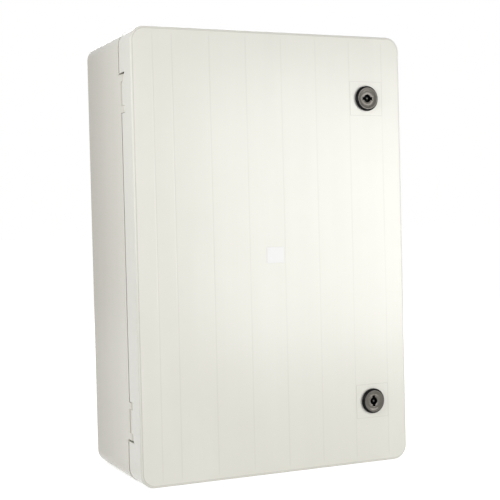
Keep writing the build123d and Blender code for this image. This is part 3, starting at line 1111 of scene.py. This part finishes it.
@dataclass
class FoamSeal:
    """Foam bead poured into the channel round the door, crowned and slightly uneven."""

    half_width: float = 184.45 * MM
    half_height: float = 284.45 * MM
    corner: float = 17.0 * MM
    root: float = 197.0 * MM
    shoulder: float = 3.3
    crown: Tuple[Point2, ...] = (
        (0.35, 0.70), (0.75, 0.45), (1.60, 0.35), (3.30, 0.15),
        (3.30, -0.15), (1.60, -0.35), (0.75, -0.45), (0.35, -0.70),
    )
    corner_faces: int = 10
    side_cuts: int = 70
    shortest_side: float = 0.1
    crown_base: float = 0.5
    unevenness: float = 0.35 * MM
    unevenness_scale: float = 0.035

    def outline(self) -> bpy.types.Object:
        """Flat face with the outer outline of the channel, with points along its straight sides."""
        Bench.clear()
        bpy.ops.mesh.primitive_plane_add(size=2.0, location=(0, -self.root, 0), rotation=(math.pi / 2, 0, 0))
        bead = Bench.named("foam_bead")
        bead.scale = (self.half_width, self.half_height, 1.0)
        Bench.settle(bead)
        bpy.ops.object.mode_set(mode="EDIT")
        bpy.ops.mesh.select_mode(type="EDGE")
        bpy.ops.mesh.select_all(action="SELECT")
        bpy.ops.mesh.bevel(offset=self.corner, segments=self.corner_faces, affect="VERTICES")
        bpy.ops.mesh.select_all(action="DESELECT")
        bpy.ops.object.mode_set(mode="OBJECT")
        for edge in bead.data.edges:
            first, last = (bead.data.vertices[index].co for index in edge.vertices)
            edge.select = (first - last).length > self.shortest_side
        bpy.ops.object.mode_set(mode="EDIT")
        bpy.ops.mesh.subdivide(number_cuts=self.side_cuts)
        return bead

    def build(self) -> List[bpy.types.Object]:
        """Draws the crown inwards from the outline, opens the middle and closes the underside."""
        bead = self.outline()
        bpy.ops.mesh.select_all(action="SELECT")
        rise = self.shoulder * MM
        bpy.ops.mesh.extrude_region_move(TRANSFORM_OT_translate={"value": (0, rise, 0)})
        for inwards, upwards in self.crown:
            bpy.ops.mesh.inset(thickness=inwards * MM, depth=0.0)
            bpy.ops.transform.translate(value=(0, upwards * MM, 0))
        bpy.ops.mesh.extrude_region_move(TRANSFORM_OT_translate={"value": (0, -rise, 0)})
        bpy.ops.mesh.delete(type="ONLY_FACE")
        bpy.ops.mesh.select_mode(type="FACE")
        bpy.ops.object.mode_set(mode="OBJECT")
        for face in bead.data.polygons:
            face.select = abs(face.center.x) < 1 * MM and abs(face.center.z) < 1 * MM
        bpy.ops.object.mode_set(mode="EDIT")
        bpy.ops.mesh.delete(type="ONLY_FACE")
        bpy.ops.mesh.select_mode(type="EDGE")
        bpy.ops.mesh.select_all(action="DESELECT")
        bpy.ops.mesh.select_non_manifold()
        bpy.ops.mesh.bridge_edge_loops()
        Bench.weld(bead)
        self.settle_unevenly(bead)
        Bench.smooth(bead, 50.0)
        return [Bench.fit(bead, "door_gasket", "door", "foam")]

    def settle_unevenly(self, bead: bpy.types.Object) -> None:
        """Lets the crown sink here and there, as poured foam does."""
        group = bead.vertex_groups.new(name="crown")
        top = -self.root + (self.shoulder + self.crown_base) * MM
        group.add([point.index for point in bead.data.vertices if point.co.y > top], 1.0, "REPLACE")
        pour = bpy.data.textures.new("pour", "CLOUDS")
        pour.noise_scale = self.unevenness_scale
        sink = bead.modifiers.new("sink", "DISPLACE")
        sink.texture, sink.vertex_group, sink.direction = pour, group.name, "Y"
        sink.strength, sink.mid_level = self.unevenness, 1.0
        Bench.only(bead)
        bpy.ops.object.modifier_apply(modifier=sink.name)


@dataclass
class Wardrobe:
    """The finish of each material slot, made once and put on CAD nodes and new pieces alike."""

    materials: Dict[str, bpy.types.Material] = field(default_factory=dict)

    def __post_init__(self) -> None:
        """Makes the materials."""
        steel = dict(light=(0.57, 0.58, 0.59), dark=(0.45, 0.46, 0.47))
        zinc = dict(light=(0.60, 0.59, 0.56), dark=(0.44, 0.43, 0.41))
        brass = dict(light=(0.78, 0.60, 0.30), dark=(0.58, 0.43, 0.20))
        foam = dict(colour=(0.020, 0.020, 0.021), pale=(0.055, 0.054, 0.053), pore_scale=1500.0)
        rubber = dict(colour=(0.016, 0.016, 0.016), pale=(0.040, 0.040, 0.040), pore_scale=2600.0)
        finishes = {
            "housing": MouldedPlastic(),
            "door": RibbedPanelPlastic(),
            "foam": SoftSeal("poured_foam", roughness=0.80, pore_depth=0.08 * MM, **foam),
            "label": LabelFilm(),
            "zinc_plate": PlatedMetal("galvanised_sheet", roughness=0.44, spangle=0.35, **steel),
            "insert_brass": PlatedMetal("turned_brass", roughness=0.24, grain=Axis.Y, **brass),
            "screw_steel": PlatedMetal("bright_zinc", roughness=0.22, grain=Axis.Y, **zinc),
            "pin_steel": PlatedMetal("drawn_steel", roughness=0.26, **steel),
            "lock_black": LockFinish("polished_black", 0.12),
            "rotor_black": LockFinish("worn_black", 0.16),
            "nut_black": BlackPlastic("moulded_black", 0.42, 0.03 * MM),
            "seal_rubber": SoftSeal("black_rubber", roughness=0.55, pore_depth=0.02 * MM, **rubber),
            "cam_steel": PlatedMetal("zinc_cam", roughness=0.25, **zinc),
        }
        self.materials = {slot: finish.material() for slot, finish in finishes.items()}

    def dress(self, frame: Dict[str, object]) -> None:
        """Puts the finishes on every shown piece.
        """
        slots = {part["node"]: part["material_slot"] for part in frame["record"]["subparts"]}
        for name, node in frame["nodes"].items():
            self.put(node, "door" if name == "door_shell" else slots[name])
        for piece in bpy.data.objects:
            if piece.get("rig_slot"):
                self.put(piece, piece["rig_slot"])

    def put(self, piece: bpy.types.Object, finish: str) -> None:
        """Puts one finish on a whole piece."""
        piece.data.materials.clear()
        piece.data.materials.append(self.materials[finish])


@dataclass
class Studio:
    """Floor, world, lamps and camera, whose focal length is in picture widths."""

    floor_level: float
    eye: Point3 = (-0.6564, -1.5973, 0.0425)
    yaw: float = 23.85
    pitch: float = -1.37
    roll: float = -1.39
    focal: float = 1138.7 / 500.0
    sensor: float = 36.0
    clip: Point2 = (0.05, 60.0)
    soft_light: float = 0.36
    floor_side: float = 60.0
    floor_tones: Point2 = (0.84, 0.88)
    floor_glow: float = 0.71

    def floor(self) -> None:
        """Large pale floor that the camera and reflections see near white, apart from the shadow on it."""
        Bench.clear()
        bpy.ops.mesh.primitive_plane_add(size=self.floor_side, location=(0, 0, self.floor_level))
        floor = Bench.named("floor")
        Bench.settle(floor)
        paint = Paint("floor_paper")
        dark, light = ((tone,) * 3 for tone in self.floor_tones)
        glow = paint.blend(paint.seen_directly(), (0.0, 0.0, 0.0), (self.floor_glow,) * 3)
        paper = paint.dress(
            Base_Color=paint.blend(paint.noise(300.0, 3.0), dark, light), Roughness=0.9,
            Specular_IOR_Level=0.0, Emission_Color=glow, Emission_Strength=1.0,
        )
        floor.data.materials.append(paper)
        floor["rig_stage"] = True

    def world(self) -> None:
        """Even soft light from all round, which the camera and reflections see as white."""
        world = bpy.data.worlds.new("studio")
        bpy.context.scene.world = world
        world.use_nodes = True
        sheet = NodeSheet(world.node_tree)
        strength = self.soft_light + (1.0 - self.soft_light) * sheet.seen_directly()
        sky = sheet.node("ShaderNodeBackground", values={"Color": (1.0, 1.0, 1.0, 1.0), "Strength": strength})
        output = sheet.nodes.new("ShaderNodeOutputWorld")
        sheet.feed(output.inputs["Surface"], sky)

    def lamp(self, name: str, spot: Point3, aim: Point3, size: Point2, power: float) -> None:
        """Adds one rectangular soft lamp.

        Args:
            name: Its name.
            spot: Where it stands.
            aim: The point that it faces.
            size: Its width and height.
            power: Its power in watts.
        """
        Bench.clear()
        bpy.ops.object.light_add(type="AREA", location=spot)
        lamp = Bench.named(name)
        lamp.rotation_euler = (Vector(aim) - Vector(spot)).to_track_quat("-Z", "Y").to_euler()
        lamp.data.shape = "RECTANGLE"
        lamp.data.size, lamp.data.size_y = size
        lamp.data.energy = power

    def camera(self) -> None:
        """Camera at the photograph's place and angle."""
        yaw, pitch, roll = (math.radians(angle) for angle in (self.yaw, self.pitch, self.roll))
        ahead = Vector((math.sin(yaw) * math.cos(pitch), math.cos(yaw) * math.cos(pitch), math.sin(pitch)))
        right = Vector((math.cos(yaw), -math.sin(yaw), 0.0))
        up = right.cross(ahead)
        side = right * math.cos(roll) + up * math.sin(roll)
        top = up * math.cos(roll) - right * math.sin(roll)
        Bench.clear()
        bpy.ops.object.camera_add()
        camera = Bench.named("camera")
        turn = Matrix((side, top, -ahead)).transposed()
        camera.matrix_world = Matrix.Translation(Vector(self.eye)) @ turn.to_4x4()
        camera.data.sensor_width = self.sensor
        camera.data.lens = self.focal * self.sensor
        camera.data.clip_start, camera.data.clip_end = self.clip
        bpy.context.scene.camera = camera

    def build(self) -> None:
        """Builds the whole studio."""
        self.floor()
        self.world()
        self.lamp("key", (0.88, -1.50, 0.03), (0.0, -0.2, 0.0), (0.9, 0.85), 11.0)
        self.lamp("right_near", (0.9, -1.0, 0.0), (0.0, -0.2, 0.0), (0.6, 0.5), 1.0)
        self.lamp("left_fill", (-0.72, -0.50, 0.25), (-0.2, -0.19, 0.08), (0.5, 0.6), 2.5)
        self.lamp("rear_fill", (0.7, 2.0, 1.3), (0.0, 0.0, 0.0), (1.2, 1.2), 18.0)
        self.camera()
        bpy.context.scene.view_settings.view_transform = "Standard"


def corners(bounds: Sequence[Vector]) -> List[List[float]]:
    """Lowest and highest corner as plain lists of numbers."""
    return [[round(number, 6) for number in corner] for corner in bounds]


def main() -> None:
    """Builds the hardware, the finishes and the studio in order."""
    logging.basicConfig(level=logging.INFO, format="%(name)s: %(message)s")
    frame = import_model()
    cad_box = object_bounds()
    makers = [DoorLock(Place.UPPER, True), DoorLock(Place.LOWER, False), PlateScrews(), FoamSeal()]
    for maker in makers:
        for piece in maker.build():
            LOG.info("%s: %d faces", piece.name, len(piece.data.polygons))
    Wardrobe().dress(frame)
    Studio(floor_level=cad_box[0].z).build()


if __name__ == "__main__":
    main()
